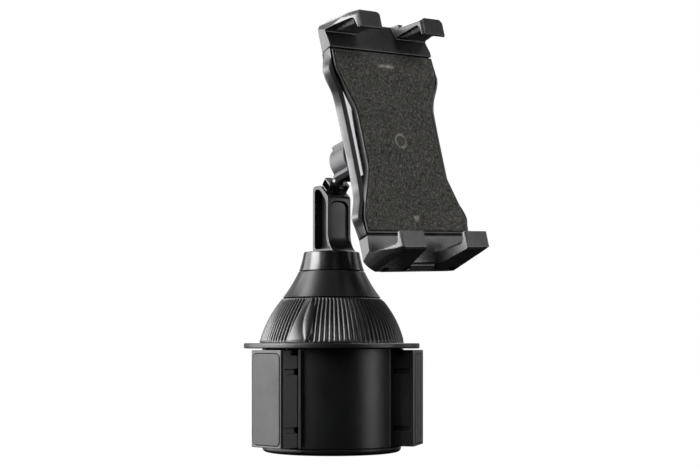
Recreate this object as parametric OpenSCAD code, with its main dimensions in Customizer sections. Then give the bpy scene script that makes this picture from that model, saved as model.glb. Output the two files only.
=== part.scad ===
// Car phone mount: cup-holder base with three expanding wings, a swivelling post,
// a ball joint and a spring clamp holder. Millimetres, +Z up, the holder faces -Y.

/* [Cup insert] */
// Radius of the cup insert
cup_r = 34; // [33.5:0.1:34.5]
// Height at which the flange plate starts
cup_top = 50.3; // [50:0.1:50.5]
// Wall of the cup insert
cup_wall = 2.2; // [1.8:0.1:2.6]
// Height of the bottom cap
cap_h = 3.2; // [3:0.1:3.3]

/* [Wings] */
// Distance from the axis to a wing's outer face, as set here
wing_r = 43.6; // [42:0.1:44]
// Width of a wing
wing_w = 21.8; // [21:0.1:22]
// Thickness of a wing's side walls
wing_wall = 2.4; // [2.2:0.1:2.6]
// Radius from the axis to a follower pin
pin_place = 28; // [27.5:0.1:28.4]
// Radial travel of a wing for one radian of the dial
scroll_rate = 3.6; // [3.2:0.1:3.8]

/* [Flange and dial] */
// Radius of the flange plate
flange_r = 43; // [41:0.5:44]
// Thickness of the flange plate
flange_t = 2.6; // [2.4:0.1:2.8]
// Radius of the dial at its foot
dial_r = 35.4; // [35:0.1:36]
// Height of the dial's top edge
dial_top = 74.6; // [74:0.1:75]

/* [Neck] */
// Height of the top of the cone
cone_top = 87.8; // [87:0.1:88.5]
// Height of the top of the swivel collar
collar_top = 97.4; // [97:0.1:98]
// Height of the top of the post
post_top = 129.7; // [128:0.1:131]
// Width of the post
post_w = 14; // [13:0.5:15]

/* [Ball joint] */
// Radius of the ball
ball_r = 6; // [5.8:0.1:6.1]
// Distance of the ball in front of the axis
ball_fwd = 12.5; // [12:0.1:13]
// Height of the ball's centre
ball_z = 139.9; // [139:0.1:141]
// Forward tilt of the ball stud, in degrees
stud_tilt = 42; // [40:1:44]

/* [Holder] */
// Backward lean of the holder, in degrees
lean = 14.4; // [10:0.1:18]
// Roll of the holder about its own facing line, in degrees
roll = 2.5; // [0:0.1:4]
// Distance from the ball to the face of the pad
ball_back = 40.8; // [40:0.1:42]
// Height of the ball's line above the middle of the pad
ball_up = 3.6; // [3:0.1:4]
// Height of the seam of the top clamp above the middle of the pad
top_seam = 43.3; // [43:0.1:43.6]
// Depth of the seam of the bottom clamp below the middle of the pad
low_seam = 45.6; // [45.3:0.1:46]
// Distance from the middle plane to a guide rod
rod_x = 11; // [10:0.5:12]

/* [Hidden] */
$fn = 64;

// Directions of the three wings, the first one to the left of the holder's front
wing_angles = [188, 308, 68];
web_turn = 60;
wing_bottom = 3.7;
wing_top = cup_top - 0.7;
bay_half = wing_w / 2 + 0.4;
bay_floor = 15.5;
boss_place = 25;
pin_r = 2;
flange_top = cup_top + flange_t;
dial_foot = flange_top + 0.3;
scroll_z = flange_top + 1;
scroll_t = 2.4;
scroll_r = 32.6;
column_r = 9;
column_foot = 30;
column_top = 81;
cone_foot = dial_top + 0.3;
collar_foot = cone_top + 0.3;
post_half = 6.3;
stud_reach = 16;
stud_dir = [0, -sin(stud_tilt), cos(stud_tilt)];
ball = [0, -ball_fwd, ball_z];
frame_back = 10.4;
housing_back = 15;
rod_depth = 6.7;
rod_r = 1.5;
rod_low = -34.5;
seat_t = 0.5;
hook_in = 12;
hook_out = 26.2;

black = [0.09, 0.09, 0.095];
soft_black = [0.14, 0.14, 0.145];
gloss_black = [0.05, 0.05, 0.055];
rubber_grey = [0.22, 0.22, 0.225];
foam_grey = [0.24, 0.235, 0.215];
steel = [0.72, 0.73, 0.74];

// Points of a curve from p to r that leaves and arrives towards q
function curve(p, q, r, n = 10) =
    [for (i = [0:n]) let (t = i / n) (1 - t) * (1 - t) * p + 2 * t * (1 - t) * q + t * t * r];

// Points of an arc about c
function arc(c, r, from, to, n = 8) =
    [for (i = [0:n]) let (a = from + (to - from) * i / n) c + r * [cos(a), sin(a)]];

// ---------- cup insert ----------

module cup_section() {
    difference() {
        union() {
            difference() {
                circle(r = cup_r);
                circle(r = cup_r - cup_wall);
            }
            intersection() {
                circle(r = cup_r - 0.5);
                for (a = wing_angles)
                    rotate(a)
                        translate([bay_floor - 1.6, -bay_half - 1.6])
                            square([cup_r, 2 * bay_half + 3.2]);
            }
            for (a = wing_angles)
                rotate(a + web_turn) {
                    translate([0, -1])
                        square([cup_r - 1, 2]);
                    translate([boss_place, 0])
                        circle(r = 3.4);
                }
            circle(r = column_r + 2.6);
        }
        for (a = wing_angles)
            rotate(a)
                translate([bay_floor, -bay_half])
                    square([cup_r, 2 * bay_half]);
    }
}

module cup_body() {
    rib_x = [16, 30.3];
    color(soft_black)
        union() {
            difference() {
                translate([0, 0, cap_h])
                    linear_extrude(cup_top - cap_h)
                        cup_section();
                translate([0, 0, column_foot])
                    cylinder(r = column_r + 0.02, h = cup_top);
                translate([0, 0, cap_h - 1])
                    cylinder(r = 4.4, h = 21.8);
                cylinder(r = 2.05, h = column_foot + 1);
                for (a = wing_angles)
                    rotate(a + web_turn)
                        translate([boss_place, 0, cap_h - 1])
                            cylinder(r = 1.3, h = cup_top);
            }
            for (a = wing_angles, s = [-1, 1], z = [38.5, 11.2])
                rotate(a)
                    translate([rib_x[0], s > 0 ? bay_half - 1.3 : -bay_half - 0.1, z])
                        cube([rib_x[1] - rib_x[0], 1.4, 1.8]);
        }
}

module bottom_cap() {
    edge = 2.3;
    color(soft_black)
        difference() {
            rotate_extrude($fn = 96)
                polygon(concat(
                    [[0, 0]],
                    curve([cup_r - edge, 0], [cup_r, 0], [cup_r, edge]),
                    [[cup_r, cap_h], [0, cap_h]]
                ));
            for (a = wing_angles)
                rotate(a + web_turn)
                    translate([boss_place, 0, -1]) {
                        cylinder(r = 1.6, h = 8);
                        cylinder(r = 2.9, h = 2.6);
                    }
        }
}

module cap_screws() {
    color(steel)
        for (a = wing_angles)
            rotate(a + web_turn)
                translate([boss_place, 0, 0])
                    pan_screw(1.6, 1.3, 2.7, 1.2, 10);
}

// A pan-head screw that points up, its head's top face at z
module pan_screw(z, r, head_r, head_h, length) {
    difference() {
        union() {
            translate([0, 0, z])
                cylinder(r = r - 0.02, h = length);
            translate([0, 0, z - head_h])
                cylinder(r = head_r, h = head_h);
        }
        translate([0, 0, z - head_h - 0.1])
            cylinder(r = r * 0.9, h = head_h * 0.6, $fn = 6);
    }
}

// ---------- wings ----------

module wing_shape() {
    half = wing_w / 2;
    edge = 0.9;
    inner = 26;
    plate = 2.4;
    height = wing_top - wing_bottom;
    difference() {
        union() {
            translate([0, 0, wing_bottom])
                linear_extrude(height)
                    polygon([
                        [wing_r - plate, -half], [wing_r - edge, -half], [wing_r, -half + edge],
                        [wing_r, half - edge], [wing_r - edge, half], [wing_r - plate, half]
                    ]);
            for (s = [-1, 1])
                translate([inner, s > 0 ? half - wing_wall : -half, wing_bottom])
                    cube([wing_r - plate - inner + 0.1, wing_wall, height]);
            for (z = [wing_bottom, 24, wing_top - 2.4])
                translate([inner, -half + 1, z])
                    cube([wing_r - plate - inner + 0.1, wing_w - 2, 2.4]);
            translate([pin_place, 0, wing_top - 1])
                cylinder(r = pin_r, h = scroll_z + scroll_t - 0.4 - wing_top + 1);
        }
        for (s = [-1, 1], z = [38.1, 10.8])
            translate([inner - 1, s > 0 ? half - 1.4 : -half - 1, z])
                cube([wing_r - plate - inner + 0.4, 2.4, 2.6]);
        for (s = [-1, 1])
            translate([33.6, s > 0 ? half - wing_wall - 0.1 : -half - 1, wing_top - 2.3])
                cube([4.6, wing_wall + 1.1, 4]);
        translate([wing_r - 1.2, -9.35 - 0.02, 4.7])
            cube([3, 18.7 + 0.04, 43.3]);
    }
}

module wing_pad_shape() {
    w = 18.7;
    h = 43.3;
    corner = 2.3;
    translate([wing_r - 1.2, 0, 4.7 + h / 2])
        rotate([90, 0, 90])
            linear_extrude(1.4)
                polygon(concat(
                    arc([w / 2 - corner, h / 2 - corner], corner, 0, 90),
                    arc([corner - w / 2, h / 2 - corner], corner, 90, 180),
                    arc([corner - w / 2, corner - h / 2], corner, 180, 270),
                    arc([w / 2 - corner, corner - h / 2], corner, 270, 360)
                ));
}

module wing_n(i) {
    color(black)
        rotate(wing_angles[i])
            wing_shape();
}

module wing_pad_n(i) {
    color(rubber_grey)
        rotate(wing_angles[i])
            wing_pad_shape();
}

// ---------- flange, dial and scroll ----------

module flange_plate() {
    edge = 0.5;
    slot_in = pin_place - scroll_rate * 2.75;
    slot_out = pin_place + scroll_rate * 0.6;
    color(black)
        difference() {
            rotate_extrude($fn = 96)
                polygon([
                    [0, cup_top], [flange_r - edge, cup_top], [flange_r, cup_top + edge],
                    [flange_r, flange_top - edge], [flange_r - edge, flange_top], [0, flange_top]
                ]);
            translate([0, 0, cup_top - 1])
                cylinder(r = column_r + 0.02, h = 6);
            for (a = wing_angles)
                rotate(a)
                    translate([0, 0, cup_top - 1]) {
                        translate([slot_in, -pin_r - 0.4, 0])
                            cube([slot_out - slot_in, 2 * pin_r + 0.8, 6]);
                        for (x = [slot_in, slot_out])
                            translate([x, 0, 0])
                                cylinder(r = pin_r + 0.4, h = 6);
                    }
            for (a = wing_angles)
                rotate(a + web_turn)
                    translate([boss_place, 0, 0]) {
                        translate([0, 0, cup_top - 1])
                            cylinder(r = 1.6, h = 6);
                        translate([0, 0, flange_top - 1.3])
                            cylinder(r1 = 1.6, r2 = 2.95, h = 1.35);
                    }
        }
}

module flange_screws() {
    color(steel)
        for (a = wing_angles)
            rotate(a + web_turn)
                translate([boss_place, 0, 0])
                    difference() {
                        union() {
                            translate([0, 0, cup_top - 8])
                                cylinder(r = 1.28, h = 8 + flange_t - 1);
                            translate([0, 0, flange_top - 1.25])
                                cylinder(r1 = 1.5, r2 = 2.8, h = 1.25);
                        }
                        translate([0, 0, flange_top - 0.8])
                            cylinder(r = 1, h = 1, $fn = 6);
                    }
}

// Outer profile of the dial, bulging out, from its foot to its top
function dial_outline(inset) =
    let (c = [dial_r - 52.8, dial_foot - 13.9], r = 54.6 - inset)
    let (low = asin((dial_foot - c[1]) / r), high = asin((dial_top - c[1]) / r))
    arc(c, r, low, high, 14);

module grip_dial() {
    outside = dial_outline(0);
    inside = dial_outline(2.2);
    last = len(inside) - 1;
    ledge = scroll_z + scroll_t;
    color(black)
        rotate_extrude($fn = 120)
            difference() {
                polygon(concat([[column_r, dial_foot]], outside, [[column_r + 1.2, dial_top]]));
                polygon(concat(
                    [[0, ledge], [scroll_r - 2, ledge]],
                    [for (i = [6:last]) inside[i] - [0, 1.6]],
                    [[0, dial_top - 1.6 - 0.6]]
                ));
                translate([0, dial_foot - 1])
                    square([scroll_r + 0.02, ledge - dial_foot + 1]);
            }
}

// One spiral slot, wide enough for a follower pin
module scroll_slot() {
    clear = pin_r + 0.25;
    steps = 36;
    from = -32;
    to = 160;
    line = [for (i = [0:steps])
        let (a = from + (to - from) * i / steps, r = pin_place - scroll_rate * a * PI / 180)
        [r, a]];
    head = line[steps];
    tail = line[0];
    polygon(concat(
        [for (p = line) (p[0] + clear) * [cos(p[1]), sin(p[1])]],
        [for (t = [20:20:160]) head[0] * [cos(head[1]), sin(head[1])]
            + clear * [cos(head[1] + t), sin(head[1] + t)]],
        [for (i = [0:steps]) let (p = line[steps - i]) (p[0] - clear) * [cos(p[1]), sin(p[1])]],
        [for (t = [200:20:340]) tail[0] * [cos(tail[1]), sin(tail[1])]
            + clear * [cos(tail[1] + t), sin(tail[1] + t)]]
    ));
}

module scroll_disc() {
    color(steel * 0.5)
        translate([0, 0, scroll_z])
            linear_extrude(scroll_t)
                difference() {
                    circle(r = scroll_r);
                    circle(r = column_r + 0.4);
                    for (a = wing_angles)
                        rotate(a)
                            scroll_slot();
                }
}

module cone_cover() {
    outside = curve([23.8, cone_foot], [19.7, cone_foot + 5.4], [16.2, cone_top]);
    wall = 2.4;
    color(black)
        difference() {
            union() {
                rotate_extrude($fn = 96)
                    difference() {
                        polygon(concat([[0, cone_foot]], outside, [[0, cone_top]]));
                        polygon(concat(
                            [[0, cone_foot - 1], [24 - wall, cone_foot - 1]],
                            [for (p = outside) if (p[1] < cone_top - wall) p - [wall, 0]],
                            [[13.6, cone_top - wall], [0, cone_top - wall]]
                        ));
                    }
                translate([0, 0, column_top - 5.4])
                    cylinder(r = 11.4, h = cone_top - column_top + 4);
            }
            translate([0, 0, cone_foot - 1])
                cylinder(r = column_r + 0.02, h = column_top - cone_foot + 1);
            cylinder(r = 5.6, h = cone_top - wall);
            cylinder(r = 3.06, h = cone_top + 1);
        }
}

module center_column() {
    color(soft_black)
        difference() {
            translate([0, 0, column_foot])
                cylinder(r = column_r, h = column_top - column_foot);
            translate([0, 0, column_foot + 12])
                cylinder(r = 6.2, h = column_top);
            cylinder(r = 2, h = column_top - 10);
        }
}

module column_screw() {
    color(steel)
        pan_screw(24, 2, 3.9, 2.6, 16);
}

// ---------- neck ----------

module friction_washer() {
    color([0.85, 0.84, 0.8])
        translate([0, 0, cone_top])
            difference() {
                cylinder(r = 11, h = 0.9);
                translate([0, 0, -1])
                    cylinder(r = 3.6, h = 3);
            }
}

module swivel_collar() {
    color(gloss_black)
        difference() {
            rotate_extrude($fn = 96)
                polygon(concat(
                    [[0, collar_foot]],
                    curve([16.05, collar_foot], [14.5, collar_foot + 4.4], [13.7, collar_top - 0.7]),
                    [[13.1, collar_top], [0, collar_top]]
                ));
            translate([0, 0, collar_foot - 1])
                cylinder(r = 11.3, h = 1.65);
            translate([0, 0, collar_foot - 1])
                cylinder(r = 3, h = 8);
        }
}

module swivel_bolt() {
    head_top = cone_top - 2.4 - 0.08;
    color(steel)
        difference() {
            union() {
                translate([0, 0, head_top - 3.4])
                    cylinder(r = 5, h = 3.4);
                translate([0, 0, head_top - 1])
                    cylinder(r = 2.98, h = collar_foot + 6 - head_top + 1);
            }
            translate([0, 0, head_top - 4])
                cylinder(r = 2.4, h = 2.6, $fn = 6);
        }
}

// Side outline of the post, [forward, up]; it flares at the foot and is cut for the stud
function post_outline(inset) = concat(
    curve([10.6 - 1.6 * inset, collar_top + inset * 0.8], [post_half - inset, collar_top + 3],
        [post_half - inset, collar_top + 9]),
    [[post_half - inset, 123.95 - 1.2 * inset], [-0.06 - 0.4 * inset, post_top - inset * 1.1]],
    arc([-post_half + 2.4, post_top - 2.4], 2.4 - inset, 90, 180, 5),
    [[-post_half + inset, collar_top + inset * 0.8]]
);

module post_side(inset, from, to) {
    translate([from, 0, 0])
        rotate([90, 0, 90])
            linear_extrude(to - from)
                polygon([for (p = post_outline(inset)) [-p[0], p[1]]]);
}

module post_arm() {
    half = post_w / 2;
    pocket = 4.6;
    color(soft_black)
        difference() {
            post_side(0, -half, half);
            post_side(2, half - pocket, half + 1);
            post_side(2, -half - 1, -half + pocket);
            intersection() {
                difference() {
                    post_side(-1, -5.3, 5.3);
                    post_side(1.1, -6, 6);
                }
                translate([-6, -16, collar_top + 2])
                    cube([12, 16, 22.4]);
            }
            stud_frame()
                cylinder(r = 1.9, h = 12, center = true);
        }
}

// Places a shape on the stud's line, its origin where the stud meets the post
module stud_frame() {
    translate(ball - stud_reach * stud_dir)
        rotate([stud_tilt, 0, 0])
            children();
}

module ball_stud() {
    neck = 2.4;
    color(gloss_black)
        stud_frame() {
            rotate_extrude($fn = 64)
                polygon(concat(
                    [[0, -5.8], [1.88, -5.8], [1.88, 0.12], [6.4, 0.12], [7, 0.7], [7, 3.4], [6.4, 4]],
                    curve([4.6, 4], [neck, 5.4], [neck, stud_reach - 6]),
                    [[neck, stud_reach - 5], [0, stud_reach - 5]]
                ));
            translate([0, 0, stud_reach])
                sphere(r = ball_r);
        }
}

// ---------- holder frame ----------

// The holder's own axes: X across, Y backwards from the pad's face, Z along the pad
module in_holder() {
    translate(ball)
        rotate([-lean, 0, 0])
            rotate([0, -roll, 0])
                translate([0, -ball_back, -ball_up])
                    children();
}

// Places a shape on the socket's line, its origin at the ball and its Z towards the holder
module in_socket() {
    in_holder()
        translate([0, ball_back, ball_up])
            rotate([90, 0, 0])
                children();
}

// Half outline of the hourglass plate, from top to bottom
plate_half = [[30, 42.8], [30.3, 33.1], [22.8, 13.6], [22.8, -14.5], [30.8, -37.1], [30.4, -44.9]];

module hourglass(inset) {
    polygon(concat(
        [for (p = plate_half) p - [inset, sign(p[1]) * (abs(p[1]) > 40 ? inset : 0)]],
        [for (i = [5:-1:0]) let (p = plate_half[i])
            [-p[0] + inset, p[1] - sign(p[1]) * (abs(p[1]) > 40 ? inset : 0)]]
    ));
}

// Extrudes an outline of the X-Z plane from depth a to depth b
module slab(a, b) {
    translate([0, b, 0])
        rotate([90, 0, 0])
            linear_extrude(b - a)
                children();
}

module face_pad() {
    color(foam_grey)
        in_holder()
            slab(0, 1.3)
                hourglass(0.9);
}

module face_plate() {
    color(black)
        in_holder()
            difference() {
                union() {
                    slab(0.5, 3.2)
                        hourglass(0);
                    at_screws()
                        translate([0, 0, -8.6])
                            cylinder(r = 2.3, h = 6);
                }
                slab(-1, 1.32)
                    hourglass(0.88);
                at_screws()
                    translate([0, 0, -9])
                        cylinder(r = 1.3, h = 7.2);
            }
}

// The four screws that hold the housing on the plate, their Z towards the pad
module at_screws() {
    for (x = [-17.4, 17.4], z = [-11, 22])
        translate([x, 0, z])
            rotate([90, 0, 0])
                children();
}

// Places along a side rail, from top to bottom: height, outer ridge, inner edge, rear edge
rail_path = [
    [43.3, 30.7, 30.3, 29.6], [39.5, 32, 30.6, 29.8], [33.5, 33.9, 30.9, 30.8], [22, 31, 27.4, 28.2],
    [6, 30.3, 26.7, 27.2], [-24, 30.3, 26.7, 27.2], [-37.4, 34.3, 31.3, 31.1], [-42.5, 32.2, 31, 29.8],
    [-45.6, 30.8, 30.4, 29.5]
];

// Cross-section of a rail at one place: across, depth, height
function rail_section(p) = [
    [p[2] - 0.2, 2.6, p[0]], [p[2] + 0.5, 1, p[0]], [max(p[1] - 0.9, p[2] + 0.45), 2.4, p[0]],
    [p[1], 5, p[0]], [p[3], 8.6, p[0]], [p[3] - 1.6, frame_back, p[0]], [p[2] - 4.4, frame_back, p[0]]
];

module rail(side) {
    sides = 7;
    count = len(rail_path);
    points = [for (p = rail_path) each rail_section(p)];
    walls = [for (i = [0:count - 2], j = [0:sides - 1]) let (k = (j + 1) % sides)
        each [
            [i * sides + j, i * sides + k, (i + 1) * sides + k],
            [i * sides + j, (i + 1) * sides + k, (i + 1) * sides + j]
        ]];
    caps = concat(
        [for (j = [1:sides - 2]) [0, j + 1, j]],
        [for (j = [1:sides - 2]) (count - 1) * sides * [1, 1, 1] + [0, j, j + 1]]
    );
    if (side > 0)
        polyhedron(points, concat(walls, caps));
    else
        mirror([1, 0, 0])
            polyhedron(points, concat(walls, caps));
}

module holder_frame() {
    color(black)
        in_holder()
            difference() {
                union() {
                    rail(1);
                    rail(-1);
                    slab(3.22, frame_back)
                        polygon([[-30, 43.3], [30, 43.3], [30, 31.5], [26, 29.4], [-26, 29.4], [-30, 31.5]]);
                    slab(3.22, frame_back)
                        polygon([[-30, -45.6], [30, -45.6], [30, -38.5], [26, -36.2], [-26, -36.2], [-30, -38.5]]);
                }
                for (x = [-rod_x, rod_x])
                    translate([x, rod_depth, 20])
                        cylinder(r = rod_r + 0.06, h = 40);
                for (x = [-20, 20])
                    translate([x, 6.5, -50])
                        cylinder(r = 1.25, h = 12);
            }
}

module back_housing() {
    color(soft_black)
        in_holder()
            difference() {
                slab(3.22, housing_back)
                    polygon([
                        [-20.5, 29.3], [20.5, 29.3], [20.5, -15.5], [16.5, -19],
                        [16.5, -36.1], [-16.5, -36.1], [-16.5, -19], [-20.5, -15.5]
                    ]);
                for (x = [-rod_x, rod_x]) {
                    translate([x, rod_depth, -37])
                        cylinder(r = 3.3, h = 64);
                    translate([x, rod_depth, 20])
                        cylinder(r = rod_r + 0.06, h = 20);
                }
                at_screws() {
                    translate([0, 0, -20])
                        cylinder(r = 1.5, h = 20);
                    translate([0, 0, -20])
                        cylinder(r = 2.6, h = 7.2);
                    translate([0, 0, -8.7])
                        cylinder(r = 2.35, h = 6);
                }
            }
}

module housing_screws() {
    color(steel)
        in_holder()
            at_screws()
                pan_screw(-12.82, 1.3, 2.4, 1.4, 9.6);
}

// ---------- clamps ----------

// Outline of a hook seen from the side, [backwards, up]
top_hook = [
    [8.6, 43.7], [8.6, 57.9], [7.4, 59.3], [4.8, 58.9], [-15.8, 54.9], [-16.5, 54.1], [-16.5, 46.4],
    [-15, 46.2], [-13.7, 51.7], [0.8, 52.6], [0.8, 43.7]
];
low_hook = [
    [8.8, -46], [0.8, -46], [0.8, -52.8], [-0.4, -54.1], [-13.1, -54.1], [-14.3, -49.3], [-15.7, -48.9],
    [-15.8, -56.6], [-14.9, -57.5], [8.8, -60.7]
];

// Extrudes a side outline between two places across the holder
module across(points, from, to) {
    translate([from, 0, 0])
        rotate([90, 0, 90])
            linear_extrude(to - from)
                polygon(points);
}

// A hook: its side outline cut to a plan outline
module hook(points, plan, side) {
    intersection() {
        across(points, side > 0 ? 0 : -36, side > 0 ? 36 : 0);
        translate([0, 0, -70])
            linear_extrude(140)
                polygon([for (p = plan) [side * p[0], p[1]]]);
    }
}

// Front outline of a clamp, its corners cut off along the slope of its hooks
module clamp_front(slope, half) {
    rotate([slope, 0, 0])
        slab(-30, 30)
            polygon(concat(half, [for (i = [len(half) - 1:-1:0]) [-half[i][0], half[i][1]]]));
}

top_plan = [[11.8, 9], [11.8, -15.2], [13.2, -17], [25, -17], [26.2, -15], [29.9, 0.8], [29.4, 9]];
low_plan = [[7.6, 9], [7.6, 3], [11.9, -14.4], [13, -17], [24.8, -17], [26, -14.6], [29.9, 0.8], [29.4, 9]];
side_plan = [[30.8, 0.6], [29.4, 9], [-29.4, 9], [-30.8, 0.6]];

module top_clamp() {
    color(black)
        in_holder()
            difference() {
                intersection() {
                    union() {
                        hook(top_hook, top_plan, 1);
                        hook(top_hook, top_plan, -1);
                        intersection() {
                            across([[8.6, 43.7], [8.6, 57.9], [7.4, 59.3], [4.6, 58.8], [0.8, 46], [0.8, 43.7]], -32, 32);
                            linear_extrude(80)
                                polygon(side_plan);
                        }
                    }
                    clamp_front(11, [[31.5, 40], [31.2, 50], [28.3, 54.6], [24.6, 57.6], [24.6, 64]]);
                }
                for (x = [-rod_x, rod_x])
                    translate([x, rod_depth, 43])
                        cylinder(r = rod_r, h = 11);
            }
}

module guide_rods() {
    color(steel)
        in_holder()
            for (x = [-rod_x, rod_x])
                translate([x, rod_depth, rod_low])
                    difference() {
                        cylinder(r = rod_r - 0.01, h = 54 - rod_low);
                        translate([0, 0, 1.1])
                            rotate_extrude()
                                translate([1.1, 0])
                                    square([2, 0.8]);
                    }
}

module rod_clips() {
    color(steel * 0.8)
        in_holder()
            for (x = [-rod_x, rod_x])
                translate([x, rod_depth, rod_low + 1.15])
                    difference() {
                        cylinder(r = 2.8, h = 0.7);
                        translate([0, 0, -1])
                            cylinder(r = 1.12, h = 3);
                    }
}

// A return spring: a round wire wound round a guide rod
module clamp_spring(x) {
    wire = 0.35;
    coil = 2.2;
    turns = 11;
    per_turn = 8;
    sides = 5;
    low = rod_low + 2.4;
    high = 26.4;
    count = turns * per_turn;
    points = [for (i = [0:count], j = [0:sides - 1])
        let (a = 360 * i / per_turn, b = 360 * j / sides, r = coil + wire * cos(b))
        [r * cos(a), r * sin(a), low + (high - low) * i / count + wire * sin(b)]];
    walls = [for (i = [0:count - 1], j = [0:sides - 1]) let (k = (j + 1) % sides)
        each [
            [i * sides + j, i * sides + k, (i + 1) * sides + k],
            [i * sides + j, (i + 1) * sides + k, (i + 1) * sides + j]
        ]];
    caps = concat(
        [for (j = [1:sides - 2]) [0, j + 1, j]],
        [for (j = [1:sides - 2]) count * sides * [1, 1, 1] + [0, j, j + 1]]
    );
    color(steel)
        in_holder()
            translate([x, rod_depth, 0])
                polyhedron(points, concat(walls, caps));
}

module bottom_clamp() {
    color(black)
        in_holder()
            difference() {
                union() {
                    intersection() {
                        union() {
                            hook(low_hook, low_plan, 1);
                            hook(low_hook, low_plan, -1);
                            intersection() {
                                across([[8.8, -46], [0.8, -46], [2.6, -59.2], [2.6, -59.9], [8.8, -60.7]], -32, 32);
                                translate([0, 0, -80])
                                    linear_extrude(60)
                                        polygon(side_plan);
                            }
                        }
                        clamp_front(-7.7, [[31.5, -40], [31.2, -50], [28.2, -54.9], [23.9, -59], [23.9, -70]]);
                    }
                    across([[8.8, -52], [2.7, -52], [2.5, -59.2], [4.2, -61.4], [6, -61.4], [8.8, -60.7]], -7.8, 7.8);
                }
                for (x = [-20, 20])
                    translate([x, 6.5, -62]) {
                        cylinder(r = 1.4, h = 20);
                        cylinder(r = 2.1, h = 9);
                    }
            }
}

module clamp_screws() {
    color(steel)
        in_holder()
            for (x = [-20, 20])
                translate([x, 6.5, 0])
                    pan_screw(-53.02, 1.25, 2, 1.4, 13);
}

module hook_pad(top, side) {
    points = top
        ? [[0.2, 52.5], [0.2, 51.2], [-13.1, 48.9], [-13.1, 51.68]]
        : [[-0.6, -54.05], [-12.6, -54.05], [-12.6, -52.4], [-0.6, -52.4]];
    from = 13;
    to = top ? 26 : 25.4;
    color(foam_grey)
        in_holder()
            across(points, side > 0 ? from : -to, side > 0 ? to : -from);
}

// ---------- ball joint ----------

// Polar angle of the open side of the socket, measured from its back line
mouth = 66;

// Half profile of a shell about the ball, from one polar angle to another, 0 towards the holder
function shell_outline(inner, outer, from, to) = concat(
    [for (i = [0:12]) let (a = from + (to - from) * i / 12) outer * [sin(a), cos(a)]],
    [for (i = [12:-1:0]) let (a = from + (to - from) * i / 12) inner * [sin(a), cos(a)]]
);

module ball_seat_front() {
    color([0.86, 0.86, 0.84])
        in_socket()
            rotate_extrude($fn = 64)
                polygon(shell_outline(ball_r + 0.05, ball_r + seat_t, 12, 75));
}

module ball_seat_rear() {
    color([0.86, 0.86, 0.84])
        in_socket()
            rotate_extrude($fn = 64)
                polygon(shell_outline(ball_r + 0.05, ball_r + seat_t, 93, 180 - mouth));
}

module ball_socket() {
    cavity = ball_r + seat_t + 0.06;
    foot = ball_back - housing_back;
    back_lip = cavity * cos(mouth);
    color(soft_black)
        in_socket()
            difference() {
                rotate_extrude($fn = 64)
                    polygon(concat(
                        [[0, foot], [13.5, foot], [13.5, foot - 2]],
                        curve([12.6, foot - 2.6], [8.6, foot - 4], [7.9, 12.5]),
                        [[7.5, 12], [7.5, -back_lip], [cavity * sin(mouth), -back_lip]],
                        [for (i = [0:14]) let (a = (180 - mouth) * (1 - i / 14)) cavity * [sin(a), cos(a)]]
                    ));
                for (a = [0:90:270])
                    rotate(a)
                        translate([0, -0.5, -8])
                            cube([12, 1, 14]);
            }
}

module clamp_nut() {
    color(black)
        in_socket()
            union() {
                rotate_extrude($fn = 96)
                    polygon([[7.56, -2.6], [8.3, -3], [8.9, -2.4], [8.9, 8.6], [8.5, 9], [7.56, 9]]);
                for (a = [110, 230, 350])
                    rotate(a)
                        translate([8.3, -2.1, -3.5])
                            cube([2, 4.2, 11.7]);
            }
}

bottom_cap();
cup_body();
cap_screws();
wing_n(0);  // wing_1
wing_n(1);  // wing_2
wing_n(2);  // wing_3
wing_pad_n(0);  // wing_pad_1
wing_pad_n(1);  // wing_pad_2
wing_pad_n(2);  // wing_pad_3
flange_plate();
flange_screws();
grip_dial();
scroll_disc();
cone_cover();
center_column();
column_screw();
friction_washer();
swivel_collar();
swivel_bolt();
post_arm();
ball_stud();
ball_seat_rear();
ball_seat_front();
ball_socket();
clamp_nut();
back_housing();
housing_screws();
holder_frame();
face_plate();
face_pad();
top_clamp();
guide_rods();
rod_clips();
clamp_spring(-rod_x);  // clamp_spring_left
clamp_spring(rod_x);  // clamp_spring_right
bottom_clamp();
clamp_screws();
hook_pad(true, -1);  // hook_pad_top_left
hook_pad(true, 1);  // hook_pad_top_right
hook_pad(false, -1);  // hook_pad_low_left
hook_pad(false, 1);  // hook_pad_low_right
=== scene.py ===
import bpy
import bmesh
import math
import numpy as np
from mathutils import Matrix, Vector, noise


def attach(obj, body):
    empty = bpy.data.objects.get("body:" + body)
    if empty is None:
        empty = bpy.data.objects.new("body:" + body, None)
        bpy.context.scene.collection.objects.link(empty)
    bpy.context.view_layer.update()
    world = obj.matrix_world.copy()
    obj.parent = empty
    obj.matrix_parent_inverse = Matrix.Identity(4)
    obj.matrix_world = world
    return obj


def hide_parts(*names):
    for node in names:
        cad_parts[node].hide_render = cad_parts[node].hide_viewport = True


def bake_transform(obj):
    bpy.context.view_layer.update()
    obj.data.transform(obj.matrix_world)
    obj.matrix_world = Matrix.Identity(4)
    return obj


# A cup-holder phone mount. Every piece is built in millimetres in the frame of the CAD, and mesh_of() turns it
# into metres.

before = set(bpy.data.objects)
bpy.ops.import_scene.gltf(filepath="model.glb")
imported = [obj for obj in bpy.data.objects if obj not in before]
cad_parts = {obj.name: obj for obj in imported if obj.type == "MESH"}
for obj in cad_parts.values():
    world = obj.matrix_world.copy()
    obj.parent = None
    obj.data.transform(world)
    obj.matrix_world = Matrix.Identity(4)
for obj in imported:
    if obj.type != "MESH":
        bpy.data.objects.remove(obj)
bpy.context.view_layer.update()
MM = 0.001

# ---------- the shared frame, in millimetres, as in the CAD ----------

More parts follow.
